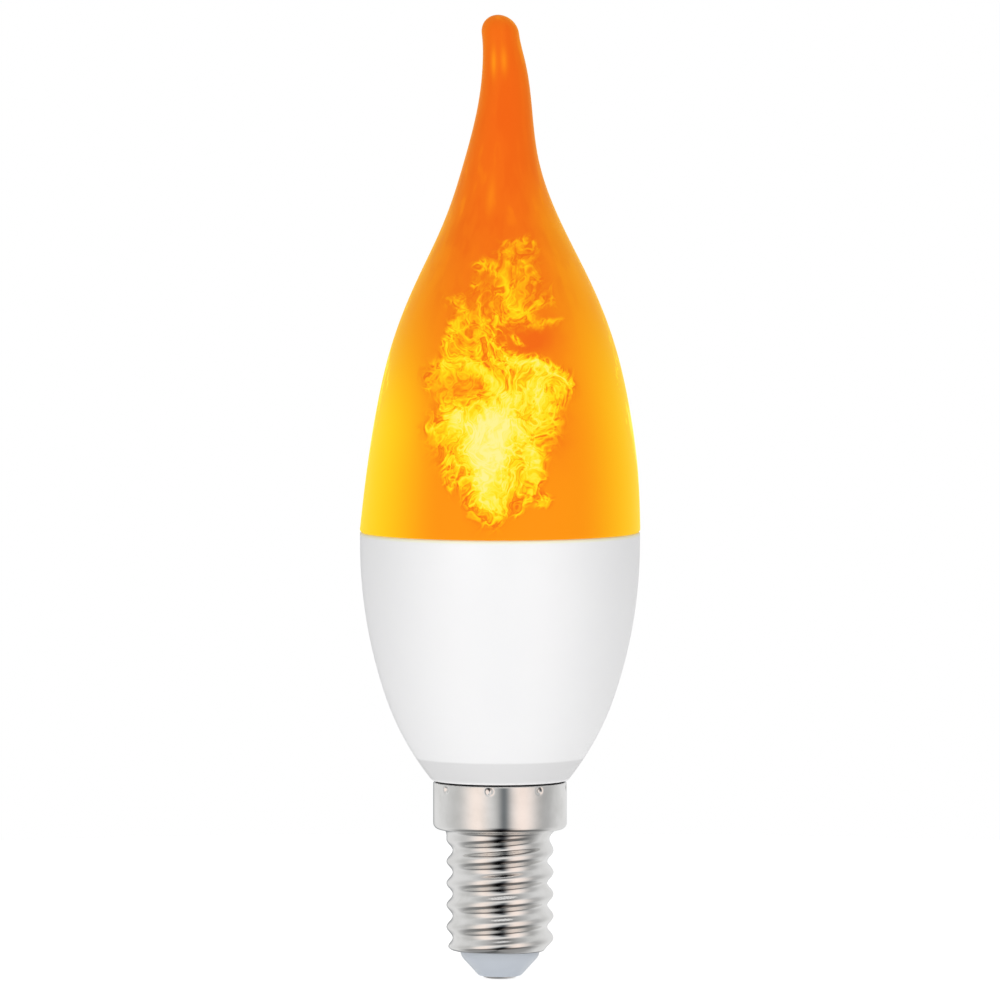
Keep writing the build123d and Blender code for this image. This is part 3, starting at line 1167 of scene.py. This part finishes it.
@dataclass
class FlameCover(SubAssembly):
    """The lofted cover with its tail, its skirt in the housing's mouth and its hollow."""

    poles: bool = True
    seam: float = SEAM
    rises: Tuple[float, ...] = (7.95, 7.95, 7.95, 7.95, 7.95, 7.95, 7.95, 4.7, 3.7)
    radii: Tuple[float, ...] = (18.05, 17.42, 16.25, 14.4, 11.35, 7.55, 4.8, 3.35, 2.75, 2.4)
    leans: Tuple[float, ...] = (0.0, 0.3, 0.4, 0.42, 0.42, 0.3, 0.2, 0.65, 0.52, 0.05)
    tip_slope: float = -0.13
    cavity_circles: int = 7
    wall: float = 1.2
    skirt_radius: float = 16.4
    skirt_depth: float = 3.0
    edge_round: float = 0.3
    row_step: float = 0.4
    inner_step: float = 0.8
    tip_points: int = 14
    dome_points: int = 10
    columns: int = 224

    @staticmethod
    def side(knots: np.ndarray, radii: np.ndarray, height: np.ndarray) -> np.ndarray:
        """Section through circles at the knots, upright at the last one."""
        return np.stack([spline_through(knots, radii, height, 0.0), height], axis=-1)

    def points(self) -> np.ndarray:
        """Section from the tip's pole down the outside, round the skirt and up inside.

        Outside and inside are splines through circles at the same heights, the inner ones smaller
        by the wall, and each ends in a half sphere. The lean is a spline too, and goes on at its
        last slope in the tip.

        Returns:
            The grid of points.
        """
        knots = self.seam + np.concatenate([[0.0], np.cumsum(self.rises)])
        radii = np.array(self.radii)
        leans = np.array(self.leans)
        tip = half_sphere(radii[-1], knots[-1], np.linspace(0, np.pi / 2, self.tip_points)[:-1])
        rows = np.arange(knots[-1], self.seam + self.edge_round, -self.row_step)
        outer = self.side(knots, radii, rows)
        inner_knots = knots[: self.cavity_circles]
        inner_radii = radii[: self.cavity_circles] - self.wall
        inner_radii[0] = self.skirt_radius - self.wall
        inner_rows = np.arange(self.seam, inner_knots[-1], self.inner_step)
        inner = self.side(inner_knots, inner_radii, inner_rows)
        dome_turn = np.linspace(np.pi / 2, 0, self.dome_points)
        dome = half_sphere(inner_radii[-1], inner_knots[-1], dome_turn)
        foot = self.seam - self.skirt_depth
        corners = rounded(
            (
                (outer[-1, 0], outer[-1, 1], 0),
                (radii[0], self.seam, self.edge_round),
                (self.skirt_radius, self.seam, self.edge_round),
                (self.skirt_radius, foot, self.edge_round),
                (inner_radii[0], foot, self.edge_round),
                (inner_radii[0], self.seam, 0),
            )
        )
        skirt = evenly(corners, self.row_step)[1:-1]
        radius, height = np.concatenate([tip, outer, skirt, inner, dome]).T
        level = np.clip(height, knots[0], knots[-1])
        beyond = np.clip(height - knots[-1], 0, None)
        lean = spline_through(knots, leans, level, self.tip_slope) + self.tip_slope * beyond
        return turned(np.minimum(radius, radii[0]), height, lean, self.columns)


@dataclass
class Housing(SubAssembly):
    """The bowl with its belt, neck, mouth and ledge."""

    radius: float = 18.0
    seam: float = SEAM
    belt_foot: float = 56.25
    turn_radius: float = 14.75
    turn_height: float = 36.5
    foot_radius: float = 8.75
    foot_height: float = COLLAR_RIM
    neck_radius: float = 8.25
    neck_foot: float = 19.6
    neck_bore: float = 6.4
    wall: float = 1.8
    mouth_radius: float = 16.5
    ledge_radius: float = 15.5
    ledge_height: float = 53.05
    edge_round: float = 0.3
    row_step: float = 0.6
    arc_points: int = 40
    inner_arc_points: int = 20
    columns: int = 224

    @staticmethod
    def bowl(top: Point, turn: Point, foot: Point, count: int) -> Tuple[np.ndarray, np.ndarray]:
        """Two arcs of a bowl's wall, from its upright top down to its foot.

        Args:
            top: Where the wall is upright.
            turn: Where the upper arc goes over into the lower one, with one tangent.
            foot: Where the lower arc ends.
            count: Points to an arc.

        Returns:
            The upper and the lower arc's points.
        """
        upper, way = tangent_arc(top, turn, (0, -1), count)
        lower, _ = tangent_arc(turn, foot, way, count)
        return upper, lower

    def points(self) -> np.ndarray:
        """Ring section: belt, two tangent arcs, foot, neck, two inner arcs, ledge and mouth.

        Returns:
            The grid of points.
        """
        upper, lower = self.bowl(
            (self.radius, self.belt_foot),
            (self.turn_radius, self.turn_height),
            (self.foot_radius, self.foot_height),
            self.arc_points,
        )
        inner_upper, inner_lower = self.bowl(
            (self.ledge_radius, self.ledge_height),
            (self.turn_radius - self.wall, self.turn_height),
            (self.neck_bore, self.foot_height),
            self.inner_arc_points,
        )
        rim = rounded(
            (
                (self.mouth_radius, self.ledge_height, 0),
                (self.mouth_radius, self.seam, self.edge_round),
                (self.radius, self.seam, self.edge_round),
                (self.radius, self.belt_foot, 0),
            )
        )
        foot = rounded(
            (
                (lower[-2][0], lower[-2][1], 0),
                (self.foot_radius, self.foot_height, self.edge_round),
                (self.neck_radius, self.foot_height, 0),
                (self.neck_radius, self.neck_foot, self.edge_round),
                (self.neck_bore, self.neck_foot, self.edge_round),
                (self.neck_bore, self.foot_height, 0),
            )
        )
        path = np.concatenate(
            [rim, upper[1:], lower[1:-2], foot, inner_lower[-2::-1], inner_upper[-2::-1]]
        )
        section = evenly(np.concatenate([path, path[:1]]), self.row_step)[:-1]
        return revolved(section, self.columns)


@dataclass
class ScrewCap(SubAssembly):
    """The pressed shell with its rolled thread, and the collar crimped to the housing.

    The first crimp's turn is counted from +X.
    """

    sheet: float = 0.3
    lip_radius: float = 5.2
    foot: float = 3.6
    foot_roll: float = 1.1
    crest_radius: float = 6.9
    groove_depth: float = 0.8
    pitch: float = 2.822
    groove_start: float = 3.82
    groove_stop: float = 17.3
    fade: float = 1.6
    shell_bore: float = 5.8
    collar_foot: float = 19.3
    collar_radius: float = 8.6
    collar_roll: float = 0.8
    rim: float = COLLAR_RIM
    rim_gap: float = 0.22
    rim_round: float = 0.2
    lip_round: float = 0.1
    neck_round: float = 0.7
    crimps: int = 8
    crimp_turn: float = 36.0
    crimp_radius: float = 0.62
    crimp_depth: float = 0.35
    crimp_drop: float = 0.85
    row_step: float = 0.14
    inner_step: float = 1.12
    arc_points: int = 10
    columns: int = 380

    def groove(self, height: np.ndarray, turn: np.ndarray) -> np.ndarray:
        """Depth of the rolled thread.

        A raised cosine across the helix whose middle climbs one pitch to a turn. It fades out by
        a smooth step at the top, and runs off the foot.

        Args:
            height: Heights as a column.
            turn: Angles as a row.

        Returns:
            Depth by row and column.
        """
        climb = self.pitch * turn / FULL_TURN
        count = np.round((height - self.groove_start - climb) / self.pitch)
        middle = self.groove_start + climb + count * self.pitch
        wave = (1 + np.cos(FULL_TURN * (height - middle) / self.pitch)) / 2
        top = np.clip((self.groove_stop + self.fade - middle) / self.fade, 0, 1)
        return self.groove_depth * wave * top**2 * (3 - 2 * top)

    def crimp(self, height: np.ndarray, turn: np.ndarray) -> np.ndarray:
        """Depth of the crimps.

        Each is a round dent just under the rim: (1 - s^2)^2 of its depth, with s the distance from
        its middle as a share of its radius.

        Args:
            height: Heights as a column.
            turn: Angles as a row.

        Returns:
            Depth by row and column.
        """
        pitch = FULL_TURN / self.crimps
        beside = (turn - radians(self.crimp_turn) + pitch / 2) % pitch - pitch / 2
        offset = beside * self.collar_radius
        drop = self.rim - self.crimp_drop - height
        share = (offset**2 + drop**2) / self.crimp_radius**2
        return self.crimp_depth * np.clip(1 - share, 0, None) ** 2

    def points(self) -> np.ndarray:
        """Ring section of the sheet from the rim down the outside and back up the inside.

        The rim stays a small gap below the housing's foot. Outside, the thread's groove and the
        crimps are taken off the section's radius.

        Returns:
            The grid of points.
        """
        bore = self.collar_radius - self.sheet
        rim = self.rim - self.rim_gap
        outside = rounded(
            (
                (bore, rim, 0),
                (self.collar_radius, rim, self.rim_round),
                (self.collar_radius, self.collar_foot, self.collar_roll),
                (self.crest_radius, self.collar_foot, self.neck_round),
                (self.crest_radius, self.foot, self.foot_roll),
                (self.lip_radius, self.foot, self.lip_round),
                (self.lip_radius, self.foot + self.sheet, 0),
            ),
            self.arc_points,
        )
        inside = np.array(
            [
                (self.lip_radius, self.foot + self.sheet),
                (self.shell_bore, self.foot + self.sheet),
                (self.shell_bore, self.collar_foot + self.sheet),
                (bore, self.collar_foot + self.sheet),
                (bore, rim),
            ]
        )
        outer = evenly(outside, self.row_step)[:-1]
        inner = evenly(inside, self.inner_step)[:-1]
        turn = angles(self.columns)
        height = np.concatenate([outer[:, 1], inner[:, 1]])
        radius = np.concatenate([outer[:, 0], inner[:, 0]])[:, None] + np.zeros_like(turn)
        level = height[:, None]
        shell = (level < self.collar_foot) & (radius > self.shell_bore)
        near_foot = np.clip((radius - self.lip_radius) / (self.crest_radius - self.lip_radius), 0, 1)
        radius = radius - np.where(shell, self.groove(level, turn) * near_foot, 0.0)
        radius = radius - np.where(radius > bore - self.sheet, self.crimp(level, turn), 0.0)
        return turned(radius, height, 0.0, self.columns)


@dataclass
class NoseCone(SubAssembly):
    """The insulator below the shell, with the plug that the shell's lip holds."""

    bore: float = 0.85
    stand: float = CONE_FOOT
    foot_radius: float = 2.7
    foot_round: float = 0.4
    cone_height: float = 2.6
    radius: float = 5.1
    cone_round: float = 1.5
    seat: float = 3.9
    plug_radius: float = 5.7
    plug_top: float = PLUG_TOP
    edge_round: float = 0.1
    row_step: float = 0.2
    arc_points: int = 8
    columns: int = 128

    def points(self) -> np.ndarray:
        """Ring section of the plug, the cone and the rivet's bore.

        Returns:
            The grid of points.
        """
        path = rounded(
            (
                (self.bore, self.plug_top, 0),
                (self.plug_radius, self.plug_top, self.edge_round),
                (self.plug_radius, self.seat, self.edge_round),
                (self.radius, self.seat, 0),
                (self.radius, self.stand + self.cone_height, self.cone_round),
                (self.foot_radius, self.stand, self.foot_round),
                (self.bore, self.stand, 0),
                (self.bore, self.plug_top, 0),
            ),
            self.arc_points,
        )
        return revolved(evenly(path, self.row_step)[:-1], self.columns)


@dataclass
class ContactButton(SubAssembly):
    """The contact: a low button, its shank and the rivet's head."""

    poles: bool = True
    flat_radius: float = 1.2
    radius: float = 2.4
    stand: float = CONE_FOOT
    shank_radius: float = 0.8
    rivet_foot: float = PLUG_TOP
    rivet_top: float = 6.4
    rivet_radius: float = 1.65
    edge_round: float = 0.08
    row_step: float = 0.15
    arc_points: int = 10
    columns: int = 96

    def points(self) -> np.ndarray:
        """Section from the rivet's pole down the outside to the pole of the flat face.

        Returns:
            The grid of points.
        """
        flat = (self.flat_radius, 0.0)
        dome, _ = tangent_arc(flat, (self.radius, self.stand), (1, 0), self.arc_points)
        head = rounded(
            (
                (0.0, self.rivet_top, 0),
                (self.rivet_radius, self.rivet_top, self.edge_round),
                (self.rivet_radius, self.rivet_foot, self.edge_round),
                (self.shank_radius, self.rivet_foot, 0),
                (self.shank_radius, self.stand, 0),
                (self.radius, self.stand, 0),
            )
        )
        path = np.concatenate([head, dome[-2::-1], [(0.0, 0.0)]])
        return revolved(evenly(path, self.row_step), self.columns)


@dataclass
class LightEngine:
    """The CAD nodes inside the lamp, which keep their shapes and get finishes."""

    finishes: Mapping[str, Finish]

    def dress(self, nodes: Mapping[str, bpy.types.Object]) -> None:
        """Give each inner node its finish, made once for each kind.

        Args:
            nodes: The frame's nodes by name.
        """
        made: dict[str, bpy.types.Material] = {}
        for node, finish in self.finishes.items():
            if finish.name not in made:
                made[finish.name] = finish.material()
            mesh = nodes[node].data
            mesh.materials.clear()
            mesh.materials.append(made[finish.name])
            LOG.info("%s: finish %s", node, finish.name)


# The studio


@dataclass(frozen=True)
class SoftBox:
    """A soft box: where it stands round the lamp, its size in metres and its power in watts."""

    name: str
    azimuth: float
    elevation: float
    distance: float
    width: float
    height: float
    watts: float


@dataclass(frozen=True)
class Band:
    """A soft upright band in what gloss reflects.

    Its azimuth and spread are degrees, and its top is the sine of the height where it has faded.
    """

    azimuth: float
    spread: float
    colour: Colour
    top: float


@dataclass(frozen=True)
class Shade:
    """A darkening of what gloss reflects, above or below.

    It starts and is full at sines of the height, and its depth is a share all round and a further
    share in front, which falls off by a spread in degrees.
    """

    start: float
    full: float
    all_round: float
    in_front: float
    spread: float


@dataclass
class Studio:
    """White floor and surroundings, soft boxes and the camera."""

    floor_radius: float = 0.22
    floor_columns: int = 96
    floor_glow: float = 0.65
    floor_bounce: float = 0.46
    floor_colour: Colour = (0.92, 0.92, 0.92)
    ambient: Colour = (0.31, 0.31, 0.31)
    mirrored: Colour = (0.86, 0.86, 0.86)
    bands: Tuple[Band, ...] = (
        Band(-80.0, 22.0, (0.66, 0.66, 0.655), 0.95),
        Band(-41.0, 15.0, (1.15, 1.01, 0.93), 0.98),
        Band(82.0, 20.0, (0.52, 0.52, 0.52), 0.95),
        Band(39.0, 16.0, (1.17, 1.01, 0.93), 0.98),
        Band(-8.0, 8.0, (0.78, 0.77, 0.76), 0.55),
        Band(7.0, 8.5, (0.20, 0.215, 0.225), 0.55),
        Band(187.0, 9.0, (0.30, 0.31, 0.32), 0.55),
        Band(2.0, 15.0, (0.03, 0.03, 0.035), -0.10),
    )
    band_fade: float = 0.40
    shade_azimuth: float = 3.0
    shades: Tuple[Shade, ...] = (
        Shade(-0.55, -0.82, 0.54, 0.43, 48.0),
        Shade(0.72, 0.93, 0.25, 0.55, 42.0),
    )
    look_height: float = 61.7
    camera_azimuth: float = 0.0
    camera_distance: float = 2.0
    camera_elevation: float = 3.6
    lens: float = 560.0
    sensor: float = 36.0
    soft_boxes: Tuple[SoftBox, ...] = (
        SoftBox("key_box", -31.0, -7.0, 1.1, 0.60, 0.5, 4.3),
        SoftBox("fill_box", 29.0, -7.0, 1.1, 0.60, 0.5, 4.0),
        SoftBox("top_box", 0.0, 80.0, 1.2, 0.8, 0.8, 2.5),
        SoftBox("back_box", 180.0, 8.0, 1.3, 0.9, 0.6, 7.0),
    )

    @staticmethod
    def direction(azimuth: float, elevation: float) -> Vector:
        """The way from the lamp towards a place.

        Args:
            azimuth: The place's azimuth from -Y, in degrees.
            elevation: Its elevation, in degrees.

        Returns:
            The way, of length one.
        """
        level = cos(radians(elevation))
        return Vector(
            (sin(radians(azimuth)) * level, -cos(radians(azimuth)) * level, sin(radians(elevation)))
        )

    def aim(self, thing: bpy.types.Object, azimuth: float, elevation: float, distance: float) -> None:
        """Set a thing off from the lamp's middle, turned towards it.

        Args:
            thing: A soft box or the camera.
            azimuth: Its azimuth from -Y, in degrees.
            elevation: Its elevation, in degrees.
            distance: How far off it stands, in metres.
        """
        way = self.direction(azimuth, elevation)
        thing.location = Vector((0.0, 0.0, self.look_height * MM)) + way * distance
        thing.rotation_euler = way.to_track_quat("Z", "Y").to_euler()

    def build_floor(self) -> None:
        """Lay a round floor, white to the camera and unseen by gloss, that takes the lamp's shadow."""
        turn = angles(self.floor_columns)[0]
        ring = self.floor_radius * np.stack([np.cos(turn), np.sin(turn), 0 * turn], axis=-1)
        mesh = bpy.data.meshes.new("floor")
        mesh.from_pydata(ring, [], [list(range(self.floor_columns))])
        floor = set_in_scene("floor", mesh)
        white = bpy.data.materials.new("studio_white")
        tree = ShaderTree(white)
        diffuse = tree.add("ShaderNodeBsdfDiffuse", {}, {"Color": self.floor_colour})
        bounce = tree.add("ShaderNodeEmission", {}, {"Strength": self.floor_bounce})
        glow = tree.add("ShaderNodeEmission", {}, {"Strength": self.floor_glow})
        light = tree.add("ShaderNodeMixShader", {}, {0: tree.ray(Ray.CAMERA), 1: bounce, 2: glow})
        shader = tree.add("ShaderNodeAddShader", {}, {0: diffuse, 1: light})
        tree.add("ShaderNodeOutputMaterial", {}, {"Surface": shader})
        mesh.materials.append(white)
        floor.visible_glossy = False
        LOG.info("floor: radius %.2f m", self.floor_radius)

    @staticmethod
    def seen(tree: ShaderTree) -> Channel:
        """One for rays that the camera, a gloss or a glass sends, else nought.

        Args:
            tree: The world's tree.

        Returns:
            The mask.
        """
        seen = tree.ray(Ray.CAMERA)
        for kind in (Ray.GLOSSY, Ray.TRANSMISSION):
            seen = seen.math("MAXIMUM", tree.ray(kind))
        return seen

    def bell(self, tree: ShaderTree, level: Channel, azimuth: float, spread: float) -> Channel:
        """Weight round the horizon.

        It is e to the power (c - 1) / s^2, with c the cosine of the turn from the azimuth and s
        the spread in radians.

        Args:
            tree: The world's tree.
            level: The way that is looked, laid level and of length one.
            azimuth: Where the weight is greatest, in degrees.
            spread: How far it reaches, in degrees.

        Returns:
            One at the azimuth, falling to nought beside it.
        """
        turn = tree.vector("DOT_PRODUCT", level, tuple(self.direction(azimuth, 0.0)))
        return ((turn - 1.0) / radians(spread) ** 2).math("EXPONENT")

    def reflected(self, tree: ShaderTree) -> Channel:
        """What gloss sees: soft bands near the horizon, and shades above and below.

        Args:
            tree: The world's tree.

        Returns:
            The colour.
        """
        way = tree.add("ShaderNodeTexCoord", {}, {}, "Generated")
        level = tree.vector("NORMALIZE", tree.vector("MULTIPLY", way, LEVEL_PART))
        up = tree.split(way)[Axis.Z]
        colour: object = self.mirrored
        for band in self.bands:
            near = up.rise(band.top, band.top - self.band_fade)
            weight = self.bell(tree, level, band.azimuth, band.spread) * near
            colour = tree.mix(weight, colour, band.colour)
        for shade in self.shades:
            front = self.bell(tree, level, self.shade_azimuth, shade.spread)
            depth = front * shade.in_front + shade.all_round
            colour = tree.mix(depth * up.rise(shade.start, shade.full), colour, BLACK)
        return colour

    def build_world(self) -> None:
        """Make surroundings that are white to the camera, banded to gloss and else a grey light."""
        world = bpy.data.worlds.new("studio")
        bpy.context.scene.world = world
        tree = ShaderTree(world)
        shown = tree.mix(tree.ray(Ray.CAMERA), self.reflected(tree), WHITE)
        colour = tree.mix(self.seen(tree), self.ambient, shown)
        background = tree.add("ShaderNodeBackground", {}, {"Color": colour})
        tree.add("ShaderNodeOutputWorld", {}, {"Surface": background})

    def build_soft_boxes(self) -> None:
        """Hang the soft boxes, each turned to the middle of the lamp and unseen by gloss."""
        for box in self.soft_boxes:
            light = bpy.data.lights.new(box.name, "AREA")
            light.shape = "RECTANGLE"
            light.size = box.width
            light.size_y = box.height
            light.energy = box.watts
            hung = set_in_scene(box.name, light)
            self.aim(hung, box.azimuth, box.elevation, box.distance)
            hung.visible_glossy = False
            LOG.info("%s: %.1f W", box.name, box.watts)

    def build_camera(self) -> None:
        """Set the camera far off in front with a long lens, raised by a few degrees."""
        data = bpy.data.cameras.new("camera")
        data.lens = self.lens
        data.sensor_width = self.sensor
        camera = set_in_scene("camera", data)
        self.aim(camera, self.camera_azimuth, self.camera_elevation, self.camera_distance)
        bpy.context.scene.camera = camera

    def build(self) -> None:
        """Build the whole studio and set the plain view transform."""
        self.build_floor()
        self.build_world()
        self.build_soft_boxes()
        self.build_camera()
        bpy.context.scene.view_settings.view_transform = "Standard"


def inner_finishes() -> Mapping[str, Finish]:
    """Finishes of the nodes inside the lamp.

    Returns:
        A finish for each inner node's name.
    """
    chip = SatinPlastic(
        "chip_black", base=(0.02, 0.02, 0.022), shade=(0.03, 0.03, 0.03), mottle_scale=2.0
    )
    wire = SatinPlastic(
        "wire_sleeve", base=(0.55, 0.03, 0.02), shade=(0.48, 0.025, 0.02), mottle_scale=0.8
    )
    return {
        "led_post": SatinPlastic("post_white", base=(0.72, 0.72, 0.70), shade=(0.66, 0.66, 0.64)),
        "led_board": WovenLaminate(
            "led_board_white", base=(0.74, 0.74, 0.72), thread=(0.80, 0.80, 0.78)
        ),
        "leds": SatinPlastic(
            "led_phosphor", base=(0.80, 0.55, 0.08), shade=(0.74, 0.48, 0.06), mottle_scale=1.5
        ),
        "driver_board": WovenLaminate("driver_board_green"),
        "rectifier": chip,
        "driver_chip": chip,
        "smoothing_capacitor": RingedFinish(
            "can_sleeve", Axis.Y, base=(0.02, 0.03, 0.06), ring=(0.3, 0.3, 0.32), pitch=9.0
        ),
        "choke": RingedFinish(
            "choke_winding", Axis.Y, base=(0.42, 0.16, 0.05), ring=(0.10, 0.04, 0.02), pitch=0.3
        ),
        "fuse_resistor": RingedFinish("resistor_lacquer"),
        "neutral_lead": wire,
        "led_leads": wire,
    }


def main() -> None:
    """Load the frame, build each piece in order, dress the inner nodes and set up the studio."""
    logging.basicConfig(level=logging.INFO, format="%(name)s: %(message)s")
    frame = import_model()
    nose = SatinPlastic(
        "nose_insulator", base=(0.60, 0.64, 0.695), shade=(0.565, 0.605, 0.66), roughness=0.3
    )
    parts: Sequence[SubAssembly] = (
        FlameCover("flame_cover", "cover_plastic", FlamePlastic("cover_flame")),
        Housing("housing", "housing_plastic", HousingPlastic("housing_white")),
        ScrewCap("screw_cap", "cap_metal", PlatedMetal("cap_plating")),
        NoseCone("cap_insulator", "nose_plastic", nose),
        ContactButton("centre_contact", "contact_metal", PlatedMetal("contact_tin", roughness=0.28)),
    )
    for part in parts:
        part.build()
    LightEngine(inner_finishes()).dress(frame["nodes"])
    Studio().build()


if __name__ == "__main__":
    main()
